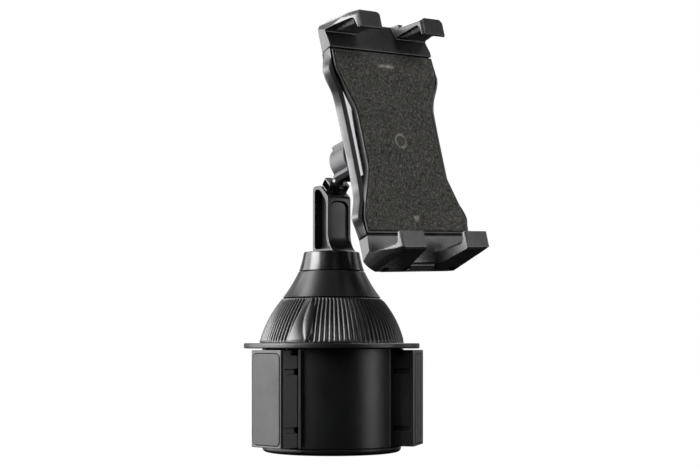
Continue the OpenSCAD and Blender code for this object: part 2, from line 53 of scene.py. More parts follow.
WINGS = (188, 308, 68)  # bearings of the three wings, in degrees
CUP_R, CUP_FOOT, CUP_TOP = 34.0, 3.2, 50.3
FLANGE_R, FLANGE_TOP = 43.0, 52.9
WING_R, WING_HALF = 43.6, 10.9
DIAL_FOOT, DIAL_TOP = 53.2, 74.6
CONE_FOOT, CONE_TOP = 74.9, 87.8
COLLAR_FOOT, COLLAR_TOP = 88.1, 97.4
POST_HALF, POST_TOP = 6.3, 129.7
BALL = Vector((0, -12.5, 139.9))
STUD_TILT, STUD_REACH, BALL_R = 42, 16, 6
LEAN, ROLL = 14.4, 2.5  # how the holder leans back and rolls, in degrees
BALL_BACK, BALL_UP = 40.8, 3.6  # the ball, from the middle of the pad's face
PLATE_BACK, HOUSING_BACK, FRAME_BACK = 3.22, 15, 10.4  # depths behind the pad's face
RAIL_TOP, RAIL_LOW = 43.3, -45.6
ROD_X, ROD_DEPTH = 11, 6.7


def turn(axis, degrees):
    return Matrix.Rotation(math.radians(degrees), 4, axis)


HOLDER = (Matrix.Translation(BALL) @ turn("X", -LEAN) @ turn("Y", -ROLL)
          @ Matrix.Translation((0, -BALL_BACK, -BALL_UP)))
SOCKET = HOLDER @ Matrix.Translation((0, BALL_BACK, BALL_UP)) @ turn("X", 90)
STUD_DIR = Vector((0, -math.sin(math.radians(STUD_TILT)), math.cos(math.radians(STUD_TILT))))
STUD = Matrix.Translation(BALL - STUD_REACH * STUD_DIR) @ turn("X", STUD_TILT)

# ---------- outlines ----------


def curve(p, q, r, n=10):
    """A quadratic curve from p to r that is drawn towards q."""
    p, q, r = np.array(p, float), np.array(q, float), np.array(r, float)
    return [tuple((1 - t) ** 2 * p + 2 * t * (1 - t) * q + t * t * r) for t in np.linspace(0, 1, n + 1)]


def arc(cx, cy, r, start, end, n=8):
    """Points on a circle between two bearings in degrees."""
    return [(cx + r * math.cos(math.radians(a)), cy + r * math.sin(math.radians(a)))
            for a in np.linspace(start, end, n + 1)]


def rounded_box(x0, y0, x1, y1, r, n=6):
    return (arc(x1 - r, y1 - r, r, 0, 90, n) + arc(x0 + r, y1 - r, r, 90, 180, n)
            + arc(x0 + r, y0 + r, r, 180, 270, n) + arc(x1 - r, y0 + r, r, 270, 360, n))


def round_corners(points, radius, n=5):
    """A closed outline with each corner replaced by a short curve."""
    out, count = [], len(points)
    for i in range(count):
        p, a, b = (np.array(points[k % count], float) for k in (i, i - 1, i + 1))
        r = radius[i] if isinstance(radius, (list, tuple)) else radius
        la, lb = np.linalg.norm(a - p), np.linalg.norm(b - p)
        d = min(r, 0.45 * la, 0.45 * lb)
        if d < 1e-3:
            out.append(tuple(p))
        else:
            out += curve(p + (a - p) / la * d, p, p + (b - p) / lb * d, n)
    return out


def spline(knots, values, at):
    """Smooth interpolation that keeps to the knots without overshoot."""
    x, y = np.array(knots, float), np.array(values, float)
    if x[0] > x[-1]:
        x, y = x[::-1], y[::-1]
    d = np.diff(y) / np.diff(x)
    m = np.zeros(len(x))
    for i in range(1, len(x) - 1):
        if d[i - 1] * d[i] > 0:
            m[i] = 2 * d[i - 1] * d[i] / (d[i - 1] + d[i])
    m[0], m[-1] = d[0], d[-1]
    i = int(min(max(np.searchsorted(x, at) - 1, 0), len(x) - 2))
    h = x[i + 1] - x[i]
    t = min(max((at - x[i]) / h, 0), 1)
    return ((2 * t ** 3 - 3 * t ** 2 + 1) * y[i] + (t ** 3 - 2 * t ** 2 + t) * h * m[i]
            + (-2 * t ** 3 + 3 * t ** 2) * y[i + 1] + (t ** 3 - t ** 2) * h * m[i + 1])


# ---------- solids: each is (points, faces), in millimetres ----------


def lathe(outline, steps=128, radius=None):
    """Turns a closed outline of (radius, height) about Z. radius(angle, r, z, i) may change the radius."""
    n = len(outline)
    points, faces = [], []
    for k in range(steps):
        a = 2 * math.pi * k / steps
        c, s = math.cos(a), math.sin(a)
        for i, (r, z) in enumerate(outline):
            q = radius(a, r, z, i) if radius else r
            points.append((q * c, q * s, z))
    for k in range(steps):
        j = (k + 1) % steps
        for i in range(n):
            h = (i + 1) % n
            if outline[i][0] > 1e-6 or outline[h][0] > 1e-6:
                faces.append((k * n + i, j * n + i, j * n + h, k * n + h))
    return points, faces


def prism(outline, low, high, plane="xy"):
    """An outline in a plane, drawn out along the third axis from low to high."""
    place = {"xy": lambda p, t: (p[0], p[1], t), "xz": lambda p, t: (p[0], t, p[1]),
             "yz": lambda p, t: (t, p[0], p[1])}[plane]
    n = len(outline)
    points = [place(p, t) for t in (low, high) for p in outline]
    faces = [tuple(range(n)), tuple(range(2 * n - 1, n - 1, -1))]
    faces += [(i, (i + 1) % n, n + (i + 1) % n, n + i) for i in range(n)]
    return points, faces


def loft(sections):
    """A skin over closed sections that have the same number of points."""
    n, count = len(sections[0]), len(sections)
    points = [p for s in sections for p in s]
    faces = [tuple(range(n)), tuple(range((count - 1) * n, count * n))]
    for k in range(count - 1):
        a, b = k * n, (k + 1) * n
        faces += [(a + i, a + (i + 1) % n, b + (i + 1) % n, b + i) for i in range(n)]
    return points, faces


def box(x0, y0, z0, x1, y1, z1):
    return prism([(x0, y0), (x1, y0), (x1, y1), (x0, y1)], z0, z1)


def rod(r, z0, z1, steps=48):
    return prism(arc(0, 0, r, 0, 360 * (1 - 1 / steps), steps - 1), z0, z1)


def put(solid, matrix):
    return [tuple(matrix @ Vector(p)) for p in solid[0]], solid[1]


def mirrored(solid):
    return [(-p[0], p[1], p[2]) for p in solid[0]], [tuple(reversed(f)) for f in solid[1]]


def joined(*solids):
    """Several solids that don't touch, as one."""
    points, faces = [], []
    for p, f in solids:
        faces += [tuple(i + len(points) for i in g) for g in f]
        points += list(p)
    return points, faces


# ---------- from solids to pieces ----------


def mesh_of(solid, name="part"):
    mesh = bpy.data.meshes.new(name)
    mesh.from_pydata([tuple(c * MM for c in p) for p in solid[0]], [], solid[1])
    bm = bmesh.new()
    bm.from_mesh(mesh)
    bmesh.ops.remove_doubles(bm, verts=bm.verts, dist=1e-7)
    bmesh.ops.recalc_face_normals(bm, faces=bm.faces)
    bm.to_mesh(mesh)
    bm.free()
    return mesh


def object_of(mesh, name):
    o = bpy.data.objects.new(name, mesh)
    bpy.context.scene.collection.objects.link(o)
    return o


def settle(o):
    """Makes the modifiers of a piece part of its mesh."""
    graph = bpy.context.evaluated_depsgraph_get()
    mesh = bpy.data.meshes.new_from_object(o.evaluated_get(graph), preserve_all_data_layers=True,
                                           depsgraph=graph)
    old = o.data
    o.modifiers.clear()
    o.data = mesh
    bpy.data.meshes.remove(old)


def combine(o, solid, operation):
    """Joins a solid to a piece, cuts it out, or keeps only what lies in both."""
    tool = object_of(mesh_of(solid), "tool")
    m = o.modifiers.new("combine", "BOOLEAN")
    m.operation, m.solver, m.object = operation, "EXACT", tool
    settle(o)
    mesh = tool.data
    bpy.data.objects.remove(tool)
    bpy.data.meshes.remove(mesh)


def join_cracks(bm):
    """Splits an open edge at each open point that lies on it, and joins the two."""
    for v in [v for v in bm.verts if v.is_boundary]:
        for e in [e for e in bm.edges if e.is_boundary and v not in e.verts]:
            a, b = (w.co for w in e.verts)
            t = (v.co - a).dot(b - a) / (b - a).length_squared
            if 0 < t < 1 and (a.lerp(b, t) - v.co).length < 4e-6:
                bmesh.utils.edge_split(e, e.verts[0], t)
                break
    bmesh.ops.remove_doubles(bm, verts=bm.verts, dist=5e-6)


def clean(o, angle=0.3):
    """Joins points that meet and removes edges that don't bend the surface, so that a bevel stays even."""
    bm = bmesh.new()
    bm.from_mesh(o.data)
    bmesh.ops.remove_doubles(bm, verts=bm.verts, dist=2e-6)
    join_cracks(bm)
    bmesh.ops.dissolve_limit(bm, angle_limit=math.radians(angle), verts=bm.verts, edges=bm.edges)
    bmesh.ops.dissolve_degenerate(bm, edges=bm.edges, dist=3e-6)
    bm.to_mesh(o.data)
    bm.free()


def mark_edges(o):
    """Stores how sharply the surface bends out at each point, for the wear on edges."""
    bm = bmesh.new()
    bm.from_mesh(o.data)
    bm.normal_update()
    value = np.zeros(len(bm.verts), np.float32)
    for e in bm.edges:
        if len(e.link_faces) == 2 and e.is_convex:
            a = e.calc_face_angle(0.0)
            for v in e.verts:
                value[v.index] = max(value[v.index], a)
    bm.free()
    attribute = o.data.attributes.new("edge", "FLOAT", "POINT")
    attribute.data.foreach_set("value", np.clip(value / 0.6, 0, 1).astype(np.float32))


def piece(name, solid, material, body, nodes, add=(), cut=(), keep=(), less=(), bevel=0.0, steps=2,
          place=None, smooth=35, pulled=None):
    """Builds one visible piece that rides on a CAD body and stands for CAD nodes.

    It keeps what lies inside the keep solids, loses less, gains add and then loses cut. bevel is the radius of
    its rounded edges. pulled is (body, fixed end, moving end); when it is given, the piece keeps its place in
    the world and rides on no body, and the body and ends in it are not used.
    """
    o = object_of(mesh_of(solid, name), name)
    for s in keep:
        combine(o, s, "INTERSECT")
    for s in less:
        combine(o, s, "DIFFERENCE")
    for s in add:
        combine(o, s, "UNION")
    for s in cut:
        combine(o, s, "DIFFERENCE")
    if add or cut or keep:
        clean(o)
    if place is not None:
        turned = place.copy()
        turned.translation = turned.translation * MM
        o.data.transform(turned)
    if bevel:
        m = o.modifiers.new("edges", "BEVEL")
        m.width, m.segments, m.limit_method = bevel * MM, steps, "ANGLE"
        m.angle_limit, m.use_clamp_overlap, m.miter_outer = math.radians(28), False, "MITER_ARC"
        settle(o)
    o.data.shade_smooth()
    o.data.set_sharp_from_angle(angle=math.radians(smooth))
    m = o.modifiers.new("shading", "WEIGHTED_NORMAL")
    m.keep_sharp, m.weight = True, 80
    settle(o)
    mark_edges(o)
    o.data.materials.clear()
    o.data.materials.append(material)
    if pulled:
        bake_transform(o)
    else:
        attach(o, body)
    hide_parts(*nodes)
    return o


# ---------- materials ----------


class Tree:
    """A small helper that adds and links nodes."""

    def __init__(self, name):
        self.material = bpy.data.materials.new(name)
        self.material.use_nodes = True
        self.tree = self.material.node_tree
        self.shader = self.tree.nodes["Principled BSDF"]
        self.where = self.add("ShaderNodeTexCoord").outputs["Object"]

    def add(self, kind, **values):
        node = self.tree.nodes.new(kind)
        for k, v in values.items():
            setattr(node, k, v)
        return node

    def link(self, a, b):
        self.tree.links.new(a, b)

    def stretched(self, scale):
        m = self.add("ShaderNodeMapping")
        m.inputs["Scale"].default_value = scale
        self.link(self.where, m.inputs["Vector"])
        return m.outputs["Vector"]

    def noise(self, scale, detail=3.0, rough=0.55, where=None):
        n = self.add("ShaderNodeTexNoise")
        n.inputs["Scale"].default_value = scale
        n.inputs["Detail"].default_value = detail
        n.inputs["Roughness"].default_value = rough
        self.link(where or self.where, n.inputs["Vector"])
        return n.outputs["Fac"]

    def cells(self, scale, feature="F1", where=None):
        n = self.add("ShaderNodeTexVoronoi", feature=feature)
        n.inputs["Scale"].default_value = scale
        self.link(where or self.where, n.inputs["Vector"])
        return n.outputs["Distance"]

    def ramp(self, value, low, high, out_low=0.0, out_high=1.0):
        n = self.add("ShaderNodeMapRange")
        self.link(value, n.inputs["Value"])
        for k, v in (("From Min", low), ("From Max", high), ("To Min", out_low), ("To Max", out_high)):
            n.inputs[k].default_value = v
        return n.outputs["Result"]

    def maths(self, operation, a, b):
        n = self.add("ShaderNodeMath", operation=operation)
        for i, v in enumerate((a, b)):
            if isinstance(v, (int, float)):
                n.inputs[i].default_value = v
            else:
                self.link(v, n.inputs[i])
        return n.outputs[0]

    def mix(self, factor, a, b):
        n = self.add("ShaderNodeMix", data_type="RGBA")
        self.link(factor, n.inputs["Factor"])
        for socket, v in ((n.inputs[6], a), (n.inputs[7], b)):
            if isinstance(v, tuple):
                socket.default_value = (*v, 1)
            else:
                self.link(v, socket)
        return n.outputs[2]

    def edge(self):
        n = self.add("ShaderNodeAttribute", attribute_name="edge")
        return n.outputs["Fac"]

    def bump(self, height, distance, strength=1.0, before=None):
        n = self.add("ShaderNodeBump")
        n.inputs["Strength"].default_value = strength
        n.inputs["Distance"].default_value = distance
        self.link(height, n.inputs["Height"])
        if before is not None:
            self.link(before, n.inputs["Normal"])
        return n.outputs["Normal"]


def shade(c, k):
    """A colour k times as bright."""
    return tuple(min(1, v * k) for v in c)


def moulded(name, colour, rough, grain=2600, depth=0.02, coat=0.0, wear=0.5, gloss=0.5):
    """Moulded plastic with a spark-eroded grain, faint flow marks, handling haze and rubbed edges."""
    t = Tree(name)
    broad = t.ramp(t.noise(38, 4), 0.3, 0.7)
    fine = t.noise(grain, 2)
    tint = t.mix(broad, shade(colour, 0.82), shade(colour, 1.2))
    speck = t.mix(t.ramp(fine, 0.35, 0.75), tint, shade(colour, 1.45))
    worn = t.maths("MULTIPLY", t.edge(), t.ramp(t.noise(420, 3), 0.38, 0.7, 0.15, wear))
    colour_out = t.mix(worn, speck, shade(colour, 2.6))
    t.link(colour_out, t.shader.inputs["Base Color"])
    haze = t.ramp(t.noise(75, 5, 0.65), 0.3, 0.75, rough - 0.04, rough + 0.06)
    t.link(t.maths("SUBTRACT", haze, t.maths("MULTIPLY", worn, 0.08)), t.shader.inputs["Roughness"])
    pits = t.maths("ADD", t.maths("MULTIPLY", t.cells(grain * 0.8), 0.6), t.maths("MULTIPLY", fine, 0.6))
    flow = t.bump(t.noise(16, 2), 0.15 * MM, 0.25)
    t.link(t.bump(pits, depth * MM, 0.6, flow), t.shader.inputs["Normal"])
    t.shader.inputs["Specular IOR Level"].default_value = gloss
    t.shader.inputs["Coat Weight"].default_value = coat
    t.shader.inputs["Coat Roughness"].default_value = 0.06
    return t.material


def rubber(name, colour, rough=0.62):
    """Dull rubber with fine pores, a dusty bloom and lighter rubbed edges."""
    t = Tree(name)
    bloom = t.ramp(t.noise(60, 5, 0.7), 0.35, 0.72)
    base = t.mix(bloom, shade(colour, 0.85), shade(colour, 1.25))
    pores = t.cells(3400)
    dotted = t.mix(t.ramp(pores, 0.0, 0.22, 0.7, 0.0), base, shade(colour, 0.45))
    worn = t.maths("MULTIPLY", t.edge(), t.ramp(t.noise(300, 3), 0.4, 0.7, 0.1, 0.5))
    t.link(t.mix(worn, dotted, shade(colour, 1.9)), t.shader.inputs["Base Color"])
    t.link(t.ramp(t.noise(120, 4), 0.3, 0.7, rough - 0.05, rough + 0.08), t.shader.inputs["Roughness"])
    height = t.maths("ADD", pores, t.maths("MULTIPLY", t.noise(1500, 3), 0.8))
    t.link(t.bump(height, 0.03 * MM, 0.6), t.shader.inputs["Normal"])
    t.shader.inputs["Specular IOR Level"].default_value = 0.35
    return t.material


def foam(name, colour):
    """Speckled closed-cell foam: fibrous light flecks on a dark grey ground, with open cells."""
    t = Tree(name)
    ground = t.mix(t.ramp(t.noise(90, 4, 0.6), 0.3, 0.7), shade(colour, 0.78), shade(colour, 1.18))
    flecks = t.ramp(t.noise(1120, 3, 0.7), 0.5, 0.63)
    light = t.mix(flecks, ground, shade(colour, 3.0))
    dark = t.ramp(t.noise(800, 3, 0.7, t.stretched((1.0, 1.0, 0.8))), 0.34, 0.47, 1.0, 0.0)
    pressed = t.add("ShaderNodeAttribute", attribute_name="mark").outputs["Fac"]
    # Painted sheen: the pressed marks are painted much lighter to stand for their shine, and are also made less
    # rough.
    pressed_sheen = t.maths("MULTIPLY", pressed, t.ramp(t.noise(420, 3), 0.35, 0.6, 0.35, 1.0))
    speckled = t.mix(dark, light, shade(colour, 0.2))
    t.link(t.mix(pressed_sheen, speckled, shade(colour, 5.5)), t.shader.inputs["Base Color"])
    dull = t.ramp(t.noise(800, 3), 0.3, 0.7, 0.78, 0.95)
    t.link(t.maths("SUBTRACT", dull, t.maths("MULTIPLY", pressed_sheen, 0.4)), t.shader.inputs["Roughness"])
    rough = t.bump(t.noise(1500, 4, 0.75), 0.16 * MM, 0.7)
    t.link(t.bump(t.cells(2400), 0.05 * MM, 0.4, rough), t.shader.inputs["Normal"])
    t.shader.inputs["Specular IOR Level"].default_value = 0.25
    t.shader.inputs["Sheen Weight"].default_value = 0.12
    t.shader.inputs["Sheen Roughness"].default_value = 0.5
    return t.material


def metal(name, colour, rough, along, tarnish=0.25):
    """Drawn or turned metal: fine lines along one direction, small stains and soft variation."""
    t = Tree(name)
    lines = t.noise(900, 3, 0.6, t.stretched(along))
    stain = t.ramp(t.noise(260, 4, 0.7), 0.45, 0.75, 0.0, tarnish)
    base = t.mix(t.ramp(lines, 0.3, 0.7), shade(colour, 0.8), shade(colour, 1.12))
    t.link(t.mix(stain, base, shade(colour, 0.45)), t.shader.inputs["Base Color"])
    t.link(t.ramp(lines, 0.3, 0.7, rough - 0.06, rough + 0.1), t.shader.inputs["Roughness"])
    t.link(t.bump(lines, 0.008 * MM, 0.5), t.shader.inputs["Normal"])
    t.shader.inputs["Metallic"].default_value = 1.0
    return t.material


BODY = moulded("cup_plastic", (0.003, 0.0032, 0.0033), 0.38, 2300, 0.03, wear=0.3, gloss=0.42)
WING = moulded("wing_plastic", (0.005, 0.005, 0.0053), 0.4, 2600, 0.02)
DIAL = moulded("dial_plastic", (0.01, 0.01, 0.0105), 0.34, 3000, 0.012, wear=0.6)
CONE = moulded("cone_plastic", (0.007, 0.007, 0.0075), 0.32, 2600, 0.018)
COLLAR = moulded("collar_gloss", (0.004, 0.004, 0.0045), 0.24, 3400, 0.004, coat=0.05, wear=0.25)
POST = moulded("post_plastic", (0.01, 0.01, 0.0105), 0.33, 2800, 0.014)
STUD_SKIN = moulded("stud_plastic", (0.01, 0.01, 0.011), 0.28, 3000, 0.008, coat=0.2)
NUT = moulded("nut_plastic", (0.03, 0.03, 0.032), 0.42, 1900, 0.05)
HOUSING = moulded("housing_plastic", (0.01, 0.01, 0.0105), 0.14, 2600, 0.003, coat=1.0, gloss=0.8)
RAIL = moulded("frame_plastic", (0.014, 0.014, 0.0145), 0.36, 2700, 0.016, wear=0.8)
CLAMP = moulded("clamp_plastic", (0.027, 0.027, 0.0272), 0.3, 2700, 0.016, wear=0.8)
INNER = moulded("inner_plastic", (0.06, 0.06, 0.065), 0.45, 2000, 0.03)
ACETAL = moulded("seat_acetal", (0.62, 0.61, 0.58), 0.32, 2400, 0.01, wear=0.1)
WING_RUBBER = rubber("wing_rubber", (0.036, 0.035, 0.036), 0.55)
FOAM = foam("pad_foam", (0.05, 0.049, 0.044))
HOOK_FOAM = foam("hook_foam", (0.034, 0.034, 0.032))
ZINC = metal("zinc_screw", (0.5, 0.5, 0.52), 0.32, (1, 1, 0.2))
CHROME = metal("rod_steel", (0.62, 0.62, 0.64), 0.16, (1, 1, 0.04), 0.12)
WIRE = metal("spring_wire", (0.42, 0.42, 0.44), 0.3, (0.3, 0.3, 1))

# ---------- cup insert ----------


def cup_outline():
    """The plan of the insert: a round wall with three bays that the wings slide in."""
    half, floor, mouth, points = 11.3, 15.5, CUP_R - 0.35, []
    bearings = sorted(WINGS)
    edge = math.degrees(math.asin(half / mouth))
    for i, a in enumerate(bearings):
        bay = [(mouth, half), (floor, half), (floor, -half), (mouth, -half)]
        c, s = math.cos(math.radians(a)), math.sin(math.radians(a))
        points += [(x * c - y * s, x * s + y * c) for x, y in reversed(bay)]
        following = bearings[(i + 1) % 3] + (360 if i == 2 else 0)
        points += arc(0, 0, CUP_R, a + edge + 0.4, following - edge - 0.4, 60)
    return points


ribs = []
for a in WINGS:
    for s in (-1, 1):
        for z in (38.5, 11.2):
            y = sorted((s * 10.0, s * 12.5))
            ribs.append(put(box(16, y[0], z, 30.3, y[1], z + 1.8), turn("Z", a)))
piece("cup_body_shell", prism(cup_outline(), CUP_FOOT, CUP_TOP), BODY, "base", ["cup_body"],
      add=[joined(*ribs)], cut=[rod(9.02, 30, 60), rod(4.4, 3, 24), rod(2.05, 20, 35)], bevel=0.3, steps=3)

screw_places = [turn("Z", a + 60) @ Matrix.Translation((25, 0, 0)) for a in WINGS]
cap_edge = ([(0, 0)] + curve((31.7, 0), (CUP_R, 0), (CUP_R, 2.3))
            + [(CUP_R, 2.75), (33.6, CUP_FOOT), (0, CUP_FOOT)])
piece("bottom_cap_shell", lathe(cap_edge, 160), BODY, "base", ["bottom_cap"],
      cut=[joined(*[put(rod(2.9, -1, 1.6), m) for m in screw_places]),
           joined(*[put(rod(1.6, -1, 5), m) for m in screw_places])], smooth=30)

# ---------- wings ----------


def wing_parts():
    """A wing's face plate, the walls, shelves and pin behind it, and its slots and the recess of its pad."""
    h, z0, z1, edge = WING_HALF, 3.7, 49.6, 0.9
    plate = prism([(41.2, -h), (WING_R - edge, -h), (WING_R, -h + edge), (WING_R, h - edge),
                   (WING_R - edge, h), (41.2, h)], z0, z1)
    add = []
    for s in (-1, 1):
        y = sorted((s * h, s * (h - 2.4)))
        add.append(box(26, y[0], z0, 41.3, y[1], z1))
    for z in (z0, 24, z1 - 2.4):
        add.append(box(26, -h + 1, z, 41.3, h - 1, z + 2.4))
    add.append(put(rod(2, 0, 7.3), Matrix.Translation((28, 0, 48.6))))
    cut = []
    for s in (-1, 1):
        for z in (38.1, 10.8):
            y = sorted((s * (h - 1.4), s * (h + 1)))
            cut.append(box(25, y[0], z, 41.6, y[1], z + 2.6))
        y = sorted((s * (h - 2.5), s * (h + 1)))
        cut.append(box(33.6, y[0], z1 - 2.3, 38.2, y[1], z1 + 2))
    inset = rounded_box(-9.37, 4.68, 9.37, 48.02, 2.35)
    cut.append(prism(inset, WING_R - 1.2, WING_R + 2, "yz"))
    return plate, add, cut


def wing_pad():
    return prism(rounded_box(-9.2, 4.85, 9.2, 47.85, 2.2), WING_R - 1.2, WING_R + 0.2, "yz")


for i, (a, body) in enumerate(zip(WINGS, ("wing_a", "wing_b", "wing_c"))):
    plate, add, cut = wing_parts()
    piece(f"wing_shell_{i + 1}", plate, WING, body, [f"wing_{i + 1}"], add=add, cut=cut,
          bevel=0.28, steps=2, place=turn("Z", a))
    piece(f"wing_grip_{i + 1}", wing_pad(), WING_RUBBER, body, [f"wing_pad_{i + 1}"],
          bevel=0.4, steps=3, place=turn("Z", a))

# ---------- flange, dial, cone and collar ----------

edge = 0.75
flange = ([(9.05, CUP_TOP)]
          + curve((FLANGE_R - edge, CUP_TOP), (FLANGE_R, CUP_TOP), (FLANGE_R, CUP_TOP + edge), 5)
          + curve((FLANGE_R, FLANGE_TOP - edge), (FLANGE_R, FLANGE_TOP), (FLANGE_R - edge, FLANGE_TOP), 5)
          + [(9.05, FLANGE_TOP)])
slot = arc(30.16, 0, 2.4, -90, 90, 12) + arc(18.1, 0, 2.4, 90, 270, 12)
slots = [put(prism(slot, CUP_TOP - 1, FLANGE_TOP + 1), turn("Z", a)) for a in WINGS]
piece("flange_ring", lathe(flange, 192), WING, "base", ["flange_plate"],
      cut=[joined(*slots), joined(*[put(rod(2.95, 51.6, 54), m) for m in screw_places]),
           joined(*[put(rod(1.6, 49, 54), m) for m in screw_places])], smooth=30)

DOME_C, DOME_R = (35.4 - 52.8, DIAL_FOOT - 13.9), 54.6


def dome(inset, z):
    """The radius of the dial at a height: an arc whose centre lies off the axis."""
    r = DOME_R - inset
    return DOME_C[0] + math.sqrt(r * r - (z - DOME_C[1]) ** 2)


def grip(a, z):
    """How far the dial's skin stands out from the smooth dome: ribs, with three thumb scoops and fins."""
    t = min(1, max(0, (z - DIAL_FOOT) / (DIAL_TOP - DIAL_FOOT)))
    ends = min(1, max(0, (t - 0.012) / 0.03)) * min(1, max(0, (0.985 - t) / 0.03))
    degrees = math.degrees(a) % 120
    fin = 92.5
    w = 4.3 * math.sin(math.pi * min(max((t + 0.02) / 1.0, 0), 1)) ** 0.7
    d = degrees - fin + 1.5 * (t - 0.5)
    left = 4.3 + 4 * t ** 0.5 + 15 * (1 - t) ** 1.1
    lean = 10 * max(0, 1 - abs(d + left * 0.7) / 26) * (1 - t) if d < 0 else 0
    wave = 0.5 + 0.5 * math.cos(math.radians(90 * (degrees + 0.5 * lean)))
    rib = -0.8 * (1 - wave ** 0.55)
    mask, lift = 1.0, 0.0
    if abs(d) < w + 0.8:
        k = min(1, max(0, (w + 0.8 - abs(d)) / 0.8))
        mask = 1 - k
        lift = k * (0.25 + 0.75 * max(0, 1 - (d / max(w, 0.1)) ** 2) ** 0.5)
    elif -left < d < -w:
        u = (d + left) / (left - w)
        k = min(1, u / 0.18)
        mask = 1 - k
        lift = -1.15 * u ** 1.6 * math.sin(math.pi * min(1, t * 0.9 + 0.12)) ** 0.6 - 0.3 * k * (1 - u)
    return ends * (rib * mask + lift)


rows = np.linspace(DIAL_FOOT + 0.25, DIAL_TOP - 0.25, 44)
brim = DIAL_FOOT - 0.26
outside = [(dome(0.25, DIAL_FOOT), brim)] + [(dome(0, z), z) for z in rows] + [(dome(0.3, DIAL_TOP), DIAL_TOP)]
inside = [(10.2, DIAL_TOP), (10.2, DIAL_TOP - 2.2)]
inside += [(dome(2.6, z), z - 1.2) for z in np.linspace(DIAL_TOP - 1, 62, 6)]
inside += [(30.6, 56.3), (32.62, 56.3), (32.62, brim)]


def dial_radius(a, r, z, i):
    return r + grip(a, z) if i < len(outside) else r


piece("dial_shell", lathe(outside + inside, 1080, dial_radius), DIAL, "dial", ["grip_dial"],
      smooth=50)

cone_out = curve((23.9, CONE_FOOT + 0.25), (19.7, CONE_FOOT + 5.6), (16.3, CONE_TOP - 0.3), 26)
cone_in = [(16.0, CONE_TOP), (3.06, CONE_TOP), (3.06, 85.4), (5.6, 85.4), (5.6, 81), (9.02, 81), (9.02, 75.6),
           (11.4, 75.6), (11.4, 85.4), (13.6, 85.4), (17.5, 81), (21.4, CONE_FOOT)]
cone = [(23.5, CONE_FOOT)] + cone_out + cone_in
piece("cone_shell", lathe(cone, 192), CONE, "base", ["cone_cover"], smooth=30)

collar_out = curve((15.95, COLLAR_FOOT + 0.2), (14.5, COLLAR_FOOT + 4.4), (13.75, COLLAR_TOP - 0.8), 16)
collar_rim = curve((13.75, COLLAR_TOP - 0.8), (13.7, COLLAR_TOP), (12.9, COLLAR_TOP), 5)
collar = ([(15.7, COLLAR_FOOT)] + collar_out + collar_rim[1:]
          + [(3, COLLAR_TOP), (3, 88.75), (11.3, 88.75), (11.3, COLLAR_FOOT)])
piece("collar_shell", lathe(collar, 192), COLLAR, "neck", ["swivel_collar"], smooth=30)

# ---------- post and ball stud ----------


def post_outline(inset, corner=0.0):
    """The post from the side, with a flared foot and a slanted head, drawn in by inset."""
    h = POST_HALF - inset
    foot = COLLAR_TOP + inset * 0.8
    flare = curve((-(10.6 - 1.6 * inset), foot), (-h, COLLAR_TOP + 3), (-h, COLLAR_TOP + 9), 12)
    head = [(-h, 123.95 - 1.2 * inset), (0.06 + 0.4 * inset, POST_TOP - 1.1 * inset)]
    back = [(h, POST_TOP - 1.1 * inset), (h, foot)]
    radii = [corner] + [0] * (len(flare) - 1) + [1.2 + corner] * 2 + [2.4] + [corner]
    return round_corners(flare + head + back, radii, 6)


pockets = [prism(post_outline(1.8, 1.4), 2.4, 8, "yz"), prism(post_outline(1.8, 1.4), -8, -2.4, "yz")]


def front_recess():
    """A shallow rounded channel down the front of the post that follows its flare."""
    sections, low, top, depth = [], COLLAR_TOP + 2.0, 121.8, 1.0
    for z in np.linspace(low, top, 28):
        k = max(0, 1 - (z - COLLAR_TOP) / 9)
        y = -POST_HALF - 4.3 * k * k
        near_top, near_low = (top - z) / 2.6, (z - low) / 3.2
        w = 5.2 - (2.4 * (1 - min(1, near_top)) ** 2 + 3.4 * (1 - min(1, near_low)) ** 2)
        side = [(w, y - 3), (w, y + depth - 0.5), (w - 0.6, y + depth)]
        sections.append([(-w, y - 3, z)] + [(*p, z) for p in side]
                        + [(-x, y1, z) for x, y1 in reversed(side[1:])])
    return loft(sections)


piece("post_shell", prism(post_outline(0), -7, 7, "yz"), POST, "neck", ["post_arm"],
      cut=pockets + [front_recess(), put(rod(1.9, -6, 3), STUD)], bevel=0.42, steps=3)

neck = ([(0, -5.8), (1.88, -5.8), (1.88, 0.6), (4, 0.6), (4, 3.4)]
        + curve((4, 3.4), (2.4, 5.0), (2.4, 10), 10)[1:]
        + [(math.sin(math.radians(a)) * BALL_R, STUD_REACH - math.cos(math.radians(a)) * BALL_R)
           for a in np.linspace(24, 178, 40)] + [(0, STUD_REACH + BALL_R)])
saddle = prism(rounded_box(-6.2, -3.3, 6.2, 3.3, 1.5), 0.12, 4.5)
window = rounded_box(-2.5, 0.8, 2.5, 3.85, 0.9)
windows = [prism(window, x0, x1, "yz") for x0, x1 in ((-8, -2.4), (2.4, 8))]
piece("ball_stud_shell", lathe(neck, 96), STUD_SKIN, "neck", ["ball_stud"], place=STUD,
      add=[saddle], cut=windows, bevel=0.22, steps=2)

# ---------- socket and clamp nut ----------

mouth, cavity, foot = 66, 6.56, BALL_BACK - HOUSING_BACK
lip = cavity * math.cos(math.radians(mouth))
socket = ([(0, foot), (13.2, foot), (13.5, foot - 0.3), (13.5, foot - 1.7)]
          + curve((13.5, foot - 1.7), (13.4, foot - 2.5), (12.6, foot - 2.6), 4)[1:]
          + curve((12.6, foot - 2.6), (8.6, foot - 4), (7.9, 12.5), 14)[1:]
          + [(7.5, 12), (7.5, -lip + 0.3), (7.2, -lip), (cavity * math.sin(math.radians(mouth)), -lip)]
          + [(cavity * math.sin(math.radians(a)), cavity * math.cos(math.radians(a)))
             for a in np.linspace(112, 0, 20)])
collet = [put(box(0, -0.5, -8, 12, 0.5, 6), turn("Z", a)) for a in (0, 90, 180, 270)]
piece("socket_shell", lathe(socket, 128), HOUSING, "holder", ["ball_socket"], place=SOCKET,
      cut=[joined(*collet)])

